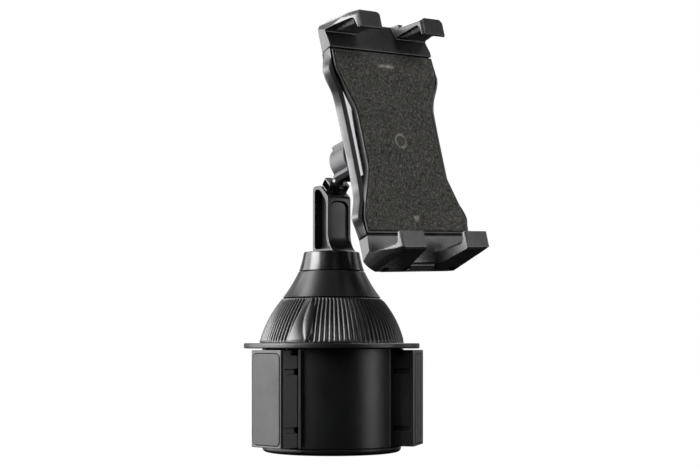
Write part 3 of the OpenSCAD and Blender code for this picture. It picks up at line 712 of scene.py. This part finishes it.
barrel = ([(7.56, -2.5)] + curve((7.9, -3), (8.9, -3), (8.9, -2.1), 4) + [(8.9, 8.2)]
          + curve((8.9, 8.2), (8.9, 9), (8.1, 9), 4)[1:] + [(7.56, 8.8)])
lugs = []
for a in (110, 230, 350):
    wall = round_corners([(8.2, -2.1), (10.3, -1.7), (10.3, 1.7), (8.2, 2.1)], [0, 0.8, 0.8, 0], 4)
    lugs.append(put(prism(wall, -3.5, 8.2), turn("Z", a)))
piece("clamp_nut_shell", lathe(barrel, 128), NUT, "nut", ["clamp_nut"], place=SOCKET,
      add=[joined(*lugs)], bevel=0.35, steps=3, smooth=40)

# ---------- housing ----------

half_outline = [(20.5, 29.3), (20.5, -15.5), (16.5, -19), (16.5, -36.1)]
outline = round_corners([(-20.5, 29.3)] + half_outline + [(-x, z) for x, z in reversed(half_outline[1:])],
                        [2.5, 2.5, 1.5, 1.5, 2, 2, 1.5, 1.5])
screws = [Matrix.Translation((x, 0, z)) @ turn("X", 90) for x in (-17.4, 17.4) for z in (-11, 22)]
bores = [put(rod(2.6, -20, -12.8), m) for m in screws] + [put(rod(1.5, -20, -3), m) for m in screws]
cavities = [put(rod(3.3, -37, 27), Matrix.Translation((x, ROD_DEPTH, 0))) for x in (-ROD_X, ROD_X)]
cavities += [put(rod(1.56, 20, 35), Matrix.Translation((x, ROD_DEPTH, 0))) for x in (-ROD_X, ROD_X)]
panel = prism(rounded_box(-13.5, -33, 13.5, -20, 2), HOUSING_BACK - 0.5, 20, "xz")
piece("housing_shell", prism(outline, PLATE_BACK, HOUSING_BACK, "xz"), HOUSING, "holder", ["back_housing"],
      cut=[joined(*bores[:4]), joined(*bores[4:]), joined(*cavities[:2]), joined(*cavities[2:]), panel],
      bevel=0.6, steps=3, place=HOLDER)

# ---------- holder frame ----------

LEVELS = [43.3, 40.5, 37, 33, 28, 22, 14, 4, -9, -20, -27, -33, -37.4, -41.5, -45.6]
RIDGE = [30.8, 31.6, 33.2, 34.0, 32.7, 31.1, 30.5, 30.3, 30.25, 30.3, 30.9, 32.8, 34.2, 32.6, 30.8]
INNER_EDGE = [30.3, 30.5, 30.8, 30.8, 29.4, 27.5, 27.0, 26.8, 26.7, 26.8, 27.6, 29.8, 31.1, 31.0, 30.4]
REAR_EDGE = [29.6, 29.7, 30.2, 30.9, 29.7, 28.2, 27.5, 27.2, 27.15, 27.2, 27.8, 29.6, 31.0, 30.2, 29.5]


def rail_at(z):
    """A rail at a level: its ridge, inner edge, rear edge, rear corner and depth. The waist is drawn in."""
    r, i, b = (spline(LEVELS, values, z) for values in (RIDGE, INNER_EDGE, REAR_EDGE))
    k = min(1, max(0, min((31 - z) / 15, (z + 34) / 13)))
    k = k * k * (3 - 2 * k)
    b, d = b - 0.8 * k, 2 * k
    return r - 1.5 * k, i - 1.5 * k, b, b - 1.6 - 0.6 * d, d


def rail():
    sections = []
    for z in np.linspace(RAIL_TOP, RAIL_LOW, 75):
        r, i, b, back, d = rail_at(z)
        section = [(i - 0.15, 2.7 + d), (i + 0.45, 1.0 + d), (max(r - 1.3, i + 0.47), 1.9 + d),
                   (r - 0.1, 4.5 + d), (r, 5.3 + d), (b - 0.6 * d, 8.7 + 0.4 * d), (back, FRAME_BACK),
                   (min(i - 1.6, back - 0.7), FRAME_BACK)]
        sections.append([(x, y, z) for x, y in section])
    return loft(sections)


def bridge(high, low):
    """A bar between the rails, with its ends inside them."""
    sections = []
    for z in np.linspace(high, low, 6):
        _, i, b, back, _ = rail_at(z)
        end = [(i + 0.2, PLATE_BACK), (b - 0.4, 8.7), (back - 0.35, FRAME_BACK)]
        sections.append([(x, y, z) for x, y in end + [(-x, y) for x, y in reversed(end)]])
    return loft(sections)


frame_bores = [put(rod(1.56, 20, 60), Matrix.Translation((x, ROD_DEPTH, 0))) for x in (-ROD_X, ROD_X)]
frame_bores += [put(rod(1.25, -50, -38), Matrix.Translation((x, 6.5, 0))) for x in (-20, 20)]
piece("holder_frame_shell", rail(), RAIL, "holder", ["holder_frame"],
      add=[mirrored(rail()), bridge(RAIL_TOP, 29.4), bridge(-36.2, RAIL_LOW)], cut=[joined(*frame_bores)],
      bevel=0.3, steps=3, place=HOLDER, smooth=32)

PLATE = [(30, 42.8), (30.3, 33.1), (22.8, 13.6), (22.8, -14.5), (30.8, -37.1), (30.4, -44.9)]


def hourglass(inset):
    """The outline of the face plate, drawn in by inset, with soft bends at its waist."""
    side = [(x - inset, z - math.copysign(inset, z) if abs(z) > 40 else z) for x, z in PLATE]
    other = [(-x, z) for x, z in reversed(side)]
    return round_corners(side + other, ([0.8] + [2.88] * 4 + [0.8]) * 2, 6)


bosses = [put(rod(2.3, -8.6, -2.6), m) for m in screws]
pilots = [put(rod(1.3, -9, -1.8), m) for m in screws]
piece("face_plate_shell", prism(hourglass(0), 0.5, 3.2, "xz"), RAIL, "holder", ["face_plate"],
      add=[joined(*bosses)], cut=[prism(hourglass(0.8), -1, 1.32, "xz"), joined(*pilots)],
      bevel=0.16, steps=2, place=HOLDER)


def pad_sheet():
    """The foam pad: a fine grid between rolled edges, with its own uneven surface."""
    inset, columns, step = 1.0, 150, 0.42
    outline = hourglass(inset)
    xs = np.array([p[0] for p in outline])
    zs = np.array([p[1] for p in outline])

    def half(z):
        best = 0
        for i in range(len(outline)):
            j = (i + 1) % len(outline)
            if (zs[i] - z) * (zs[j] - z) <= 0 and zs[i] != zs[j]:
                best = max(best, xs[i] + (xs[j] - xs[i]) * (z - zs[i]) / (zs[j] - zs[i]))
        return best

    top, low = zs.max(), zs.min()
    levels = np.concatenate([[top], np.linspace(top - 0.2, low + 0.2, int((top - low) / step)), [low]])
    points, faces = [], []
    roll = 0.55
    for z in levels:
        w = half(min(max(z, low + 1e-3), top - 1e-3))
        xs_row = np.concatenate([[-w, -w + 0.15, -w + 0.35], np.linspace(-w + 0.6, w - 0.6, columns),
                                 [w - 0.35, w - 0.15, w]])
        for x in xs_row:
            d = min(w - abs(x), top - z, z - low)
            y = roll * (1 - math.sqrt(max(0, 1 - (1 - min(1, d / roll)) ** 2)))
            p = Vector((x, 0, z))
            soft = min(1, d)
            y += soft * (0.05 * (1 + noise.noise(p * 1.4)) + 0.035 * (1 + noise.noise(p * 3.1)) + 0.03)
            y += soft * mark(x, z)
            points.append((x, max(0.0, y), z))
    n = columns + 6
    rows_n = len(levels)
    for i in range(rows_n - 1):
        for j in range(n - 1):
            faces.append((i * n + j, i * n + j + 1, (i + 1) * n + j + 1, (i + 1) * n + j))
    ring = (list(range(n)) + [i * n + n - 1 for i in range(1, rows_n)]
            + [(rows_n - 1) * n + j for j in range(n - 2, -1, -1)] + [i * n for i in range(rows_n - 2, 0, -1)])
    base = len(points)
    for k in ring:
        points.append((points[k][0], 1.3, points[k][2]))
    count = len(ring)
    for k in range(count):
        faces.append((ring[k], base + k, base + (k + 1) % count, ring[(k + 1) % count]))
    faces.append(tuple(base + k for k in range(count)))
    return points, faces


def step_in(d, soft=0.3):
    """1 inside a mark and 0 outside it, by the distance d from its edge."""
    return min(1, max(0, 0.5 - d / (2 * soft)))


def mark(x, z):
    """The depth of the plain pressed marks: a bar near the top, a ring, and a small triangle near the foot."""
    bar = max(abs(x) - 4.2, 0) ** 2 + max(abs(z - 36.2) - 0.25, 0) ** 2
    value = 0.34 * step_in(math.sqrt(bar) - 0.55)
    ring = abs(math.hypot(x, z + 0.5) - 3.1)
    value += 0.36 * step_in(ring - 0.42)
    tx, tz = abs(x), z + 38.2
    tri = max(tz - 1.5, (tx * 0.87 - tz * 0.5) - 1.0)
    value += 0.38 * step_in(tri)
    return value


pad = piece("face_pad_foam", pad_sheet(), FOAM, "holder", ["face_pad"], place=HOLDER, smooth=60)
pressed = pad.data.attributes.new("mark", "FLOAT", "POINT")
local = [HOLDER.inverted() @ (v.co / MM) for v in pad.data.vertices]
pressed.data.foreach_set("value", [min(1, mark(p.x, p.z) / 0.34) if p.y < 0.9 else 0.0 for p in local])

# ---------- clamps ----------


def top_front(z):
    """The front of the top clamp's root, which slopes with its height."""
    return 0.8 + (z - 46) * 3.8 / 12.8


def low_front(z):
    """The front of the bottom clamp's root."""
    return 0.8 - (z + 46) * 1.8 / 13.2


# The hooks from the side, as (depth, height), and the right half of their plan, as (across, depth)
TOP_HOOK = round_corners([(8.6, 43.7), (8.6, 57.9), (7.4, 59.3), (4.8, 58.9), (-15.8, 54.9), (-16.5, 54.1),
                          (-16.5, 46.3), (-14.9, 46.3), (-13.7, 51.7), (top_front(52.5), 52.5), (0.8, 46),
                          (0.8, 43.7)], [0] * 8 + [1.4, 1.4, 0, 0], 4)
LOW_HOOK = round_corners([(8.8, -46), (0.8, -46), (low_front(-54.1), -54.1), (-13.1, -54.1), (-14.2, -49),
                          (-15.8, -49), (-15.8, -56.6), (-14.9, -57.5), (8.8, -60.7)],
                         [0, 0, 1.8, 1.4, 0, 0, 0, 0, 0], 4)
CLAMP_PLAN = [(29.4, 9.5), (30.8, 0.6), (26.1, -14.8), (24.9, -17), (24.9, -20)]


def detached(o):
    """The mesh of a finished helper as a solid in millimetres."""
    mesh = o.data
    solid = [tuple(c / MM for c in v.co) for v in mesh.vertices], [tuple(p.vertices) for p in mesh.polygons]
    bpy.data.objects.remove(o)
    bpy.data.meshes.remove(mesh)
    return solid


def both_sides(points):
    """A closed outline from its right half."""
    return points + [(-x, z) for x, z in reversed(points)]


def clamp(name, hook, between, wedge, slope, front, extra, corners, cut, nodes, body):
    """A clamp cut from one bar, with an outline from the side (hook), from above and from the front.

    The gap between its hooks is the plan between and the side view wedge. slope leans the front outline.
    """
    gap = object_of(mesh_of(prism(wedge, -20, 20, "yz")), "gap")
    combine(gap, prism(both_sides(between), -80, 80), "INTERSECT")
    outline = round_corners(both_sides(front), 0.9, 3)
    return piece(name, prism(hook, -36, 36, "yz"), CLAMP, body, nodes, add=extra,
                 keep=[prism(both_sides(CLAMP_PLAN), -80, 80),
                       put(prism(outline, -30, 30, "xz"), turn("X", slope))],
                 less=[detached(gap)] + corners, cut=cut, bevel=0.34, steps=3, place=HOLDER)


def corner_cuts():
    """Cutters for the long upper corners of the top hooks, following their taper and their slope."""
    cutters = []
    for inner in (False, True):
        sections = []
        for y in (-22, -1):
            edge, top = (11.8 if inner else 26.1 + (y + 14.8) * 0.305), 54.9 + (y + 15.8) * 0.194
            s = -1 if inner else 1
            w, h = (2.9, 1.9) if inner else (2.2, 2.4)
            beyond = edge + s * 6
            sections.append([(edge - s * 2 * w, y, top + h), (edge + s * w, y, top - 2 * h),
                             (beyond, y, top - 2 * h), (beyond, y, top + h)])
        solid = loft(sections)
        cutters += [solid, mirrored(solid)]
    return [joined(*cutters[:2]), joined(*cutters[2:])]


rod_sockets = [put(rod(1.5, 43, 54), Matrix.Translation((x, ROD_DEPTH, 0))) for x in (-ROD_X, ROD_X)]
clamp("top_clamp_shell", TOP_HOOK, [(11.8, 9.5), (11.8, -15.2), (14, -18)],
      [(-20, 44), (-9, 44), (-9, 49), (top_front(49), 49), (4.6, 58.8), (5.5, 61.8), (-20, 61.8)], 11,
      [(31.5, 40), (31.2, 50), (28.3, 54.6), (24.6, 57.6), (24.6, 64)],
      (), corner_cuts(), [joined(*rod_sockets)], ["top_clamp"], "top_jaw")

tongue = prism([(8.3, -52), (4, -52), (2.5, -59.25), (4.2, -61.4), (6, -61.4), (8.3, -60.5)], -7.3, 7.3,
               "yz")
low_holes = [put(rod(2.1, -62, -53), Matrix.Translation((x, 6.5, 0))) for x in (-20, 20)]
low_bores = [put(rod(1.4, -62, -42), Matrix.Translation((x, 6.5, 0))) for x in (-20, 20)]
clamp("bottom_clamp_shell", LOW_HOOK, [(7.6, 9.5), (7.6, 3), (11.9, -14.4), (13.4, -18)],
      [(-20, -46.5), (-9, -46.5), (-9, -50), (low_front(-50), -50), (2.6, -59.2), (3, -62.1), (-20, -62.1)], -7.7,
      [(31.5, -40), (31.2, -50), (30.4, -52.6), (28.9, -55.2), (26.8, -57.3), (24, -58.9), (21.5, -59.8),
       (21.5, -70)],
      [tongue], [], [joined(*low_holes), joined(*low_bores)], ["bottom_clamp"], "holder")


def hook_pad(top, side):
    """Foam under a hook: a fine grid between rolled edges, thicker towards the tip at the top."""
    length, a, b = (13.2, 13.1, 25.9) if top else (11.8, 13.1, 25.3)
    x0, x1 = (a, b) if side > 0 else (-b, -a)
    rows_n, columns = 36, 36

    def root(u):
        return 52.5 - 0.82 * u if top else -54.05

    points, faces = [], []
    for i in range(rows_n + 1):
        for j in range(columns + 1):
            u, v = i / rows_n, j / columns
            x, y = x0 + (x1 - x0) * v, (0.1 if top else -0.7) - length * u
            e = min(u * length, (1 - u) * length, v * (b - a), (1 - v) * (b - a))
            crown = math.sqrt(max(0, 1 - (1 - min(1, e / 0.5)) ** 2))
            p = Vector((x, y, 3.0 if top else 9.0))
            bumpy = 0.09 * noise.noise(p * 1.6) + 0.06 * noise.noise(p * 3.3)
            thick = 1.3 + 1.48 * u if top else 1.6
            skin = thick - 0.6 + 0.5 * crown + bumpy * min(1, e)
            points.append((x, y, root(u) - skin if top else root(u) + skin))
    n = columns + 1
    for i in range(rows_n):
        a, b = i * n, (i + 1) * n
        faces += [(a + j, a + j + 1, b + j + 1, b + j) for j in range(columns)]
    ring = (list(range(n)) + [i * n + n - 1 for i in range(1, rows_n + 1)]
            + [rows_n * n + j for j in range(n - 2, -1, -1)] + [i * n for i in range(rows_n - 1, 0, -1)])
    base = len(points)
    for k in ring:
        x, y, _ = points[k]
        points.append((x, y, root((k // n) / rows_n)))
    count = len(ring)
    faces += [(ring[k], base + k, base + (k + 1) % count, ring[(k + 1) % count]) for k in range(count)]
    faces.append(tuple(base + k for k in range(count)))
    return points, faces


for level, top, body in (("top", True, "top_jaw"), ("low", False, "holder")):
    for word, side in (("left", -1), ("right", 1)):
        o = piece(f"hook_foam_{level}_{word}", hook_pad(top, side), HOOK_FOAM, body,
                  [f"hook_pad_{level}_{word}"], place=HOLDER, smooth=60)

# ---------- return springs ----------


SPRING_LOW, SPRING_HIGH = -32.1, 26.4


def spring(x):
    """A compression spring with a closed turn and a little more at each end."""
    low, high, turns, coil, wire, sides = SPRING_LOW, SPRING_HIGH, 18, 2.2, 0.35, 8
    closed = 0.75  # rise of the closed turns at each end
    span = high - low - 2 * wire - 2.4 * closed
    points, faces = [], []
    count = turns * 28
    for i in range(count + 1):
        t = i / count
        k = t * turns
        rise = min(max((k - 1.2) / (turns - 2.4), 0), 1)
        z = low + wire + closed * (min(k, 1.2) + max(0, k - turns + 1.2)) + span * rise
        a = 2 * math.pi * k
        for j in range(sides):
            b = 2 * math.pi * j / sides
            r = coil + wire * math.cos(b)
            points.append((r * math.cos(a), r * math.sin(a), z + wire * math.sin(b)))
    for i in range(count):
        a, b = i * sides, (i + 1) * sides
        faces += [(a + j, a + (j + 1) % sides, b + (j + 1) % sides, b + j) for j in range(sides)]
    faces += [tuple(range(sides)), tuple(count * sides + j for j in range(sides))]
    return put((points, faces), Matrix.Translation((x, ROD_DEPTH, 0)))


for word, x in (("left", -ROD_X), ("right", ROD_X)):
    fixed, moving = (HOLDER @ Vector((x, ROD_DEPTH, z)) * MM for z in (SPRING_HIGH, SPRING_LOW))
    piece(f"return_spring_{word}", spring(x), WIRE, "holder", [f"clamp_spring_{word}"],
          place=HOLDER, smooth=60, pulled=("top_jaw", fixed, moving))

# ---------- CAD nodes that stay ----------

SKINS = ((ZINC, ("cap_screws", "flange_screws", "column_screw", "housing_screws", "clamp_screws", "swivel_bolt")),
         (CHROME, ("guide_rods",)), (WIRE, ("rod_clips",)), (INNER, ("center_column", "scroll_disc")),
         (ACETAL, ("friction_washer", "ball_seat_rear", "ball_seat_front")))
for material, names in SKINS:
    for name in names:
        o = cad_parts[name]
        o.data.materials.clear()
        o.data.materials.append(material)

# ---------- floor, light and camera ----------

FLOOR_HALF, FLOOR_Z = 8, -0.0003  # in metres, just under the foot
corners = [(x * FLOOR_HALF, y * FLOOR_HALF, FLOOR_Z) for x, y in ((-1, -1), (1, -1), (1, 1), (-1, 1))]
floor_mesh = bpy.data.meshes.new("floor")
floor_mesh.from_pydata(corners, [], [(0, 1, 2, 3)])
floor = object_of(floor_mesh, "floor")
ground = Tree("floor_paint")
paint = ground.mix(ground.ramp(ground.noise(3, 3), 0.3, 0.7), (0.996, 0.996, 0.996), (1, 1, 1))
ground.link(paint, ground.shader.inputs["Emission Color"])
ground.shader.inputs["Base Color"].default_value = (0.02, 0.02, 0.02, 1)
ground.shader.inputs["Emission Strength"].default_value = 1.0
ground.shader.inputs["Roughness"].default_value = 0.9
ground.shader.inputs["Specular IOR Level"].default_value = 0.0
floor_mesh.materials.append(ground.material)
floor.visible_glossy = False
floor.visible_diffuse = False

CAMERA_TURN = math.radians(37.1)
TO_CAMERA = Vector((-math.sin(CAMERA_TURN), -math.cos(CAMERA_TURN), 0))
TO_RIGHT = Vector((math.cos(CAMERA_TURN), -math.sin(CAMERA_TURN), 0))
TARGET = Vector((0, -0.02, 0.1))


def softbox(name, around, up, distance, width, height, power):
    """A rectangular light that faces the object, by its bearing from the camera's side and its elevation."""
    a, e = math.radians(around), math.radians(up)
    level = math.cos(a) * TO_CAMERA + math.sin(a) * TO_RIGHT
    light = bpy.data.lights.new(name, "AREA")
    light.shape, light.size, light.size_y, light.energy = "RECTANGLE", width, height, power
    o = bpy.data.objects.new(name, light)
    o.location = TARGET + distance * (math.cos(e) * level + math.sin(e) * Vector((0, 0, 1)))
    o.rotation_euler = (TARGET - o.location).to_track_quat("-Z", "Y").to_euler()
    bpy.context.scene.collection.objects.link(o)


softbox("key_left", -77, 2, 0.9, 0.66, 0.6, 8)
softbox("key_upper", -73, 22, 0.9, 0.56, 0.42, 13)
softbox("side_left", -113, 8, 0.9, 0.52, 0.9, 6.2)
softbox("left_front", -36, 20, 1.2, 0.2, 0.6, 0.5)
softbox("right", 69, 8, 1.0, 0.42, 0.7, 3.6)
softbox("right_back", 118, 14, 1.0, 0.3, 0.8, 1.2)
softbox("upper_right", 50, 42, 1.3, 0.28, 0.28, 5)
softbox("overhead", -98, 48, 1.0, 0.35, 0.35, 3)
softbox("backdrop", 180, 12, 1.2, 1.6, 1.2, 3)
softbox("back_top", 178, 38, 1.1, 1.0, 0.5, 6)

# The camera sees a white backdrop, and the object is lit by it only a little.
world = bpy.data.worlds.new("studio")
bpy.context.scene.world = world
world.use_nodes = True
nodes, links = world.node_tree.nodes, world.node_tree.links
back = nodes["Background"]
back.inputs["Color"].default_value = (1, 1, 1, 1)
back.inputs["Strength"].default_value = 1.0
dim = nodes.new("ShaderNodeBackground")
dim.inputs["Color"].default_value = (1, 1, 1, 1)
dim.inputs["Strength"].default_value = 0.015
mixed = nodes.new("ShaderNodeMixShader")
links.new(nodes.new("ShaderNodeLightPath").outputs["Is Camera Ray"], mixed.inputs["Fac"])
links.new(dim.outputs[0], mixed.inputs[1])
links.new(back.outputs[0], mixed.inputs[2])
links.new(mixed.outputs[0], nodes["World Output"].inputs["Surface"])

view = bpy.context.scene.view_settings
view.view_transform, view.look, view.exposure = "Standard", "None", 0.0

CAMERA_AWAY, CAMERA_UP = 0.695, 0.0527
camera_data = bpy.data.cameras.new("camera")
camera_data.lens, camera_data.sensor_width = 72.94, 36
camera_data.shift_x, camera_data.shift_y = 18.3 / 700, 110 / 700
camera = bpy.data.objects.new("camera", camera_data)
camera.location = (*(CAMERA_AWAY * TO_CAMERA)[:2], CAMERA_UP)
camera.rotation_euler = (math.radians(90), 0, -CAMERA_TURN)
bpy.context.scene.collection.objects.link(camera)
bpy.context.scene.camera = camera

bpy.context.view_layer.update()
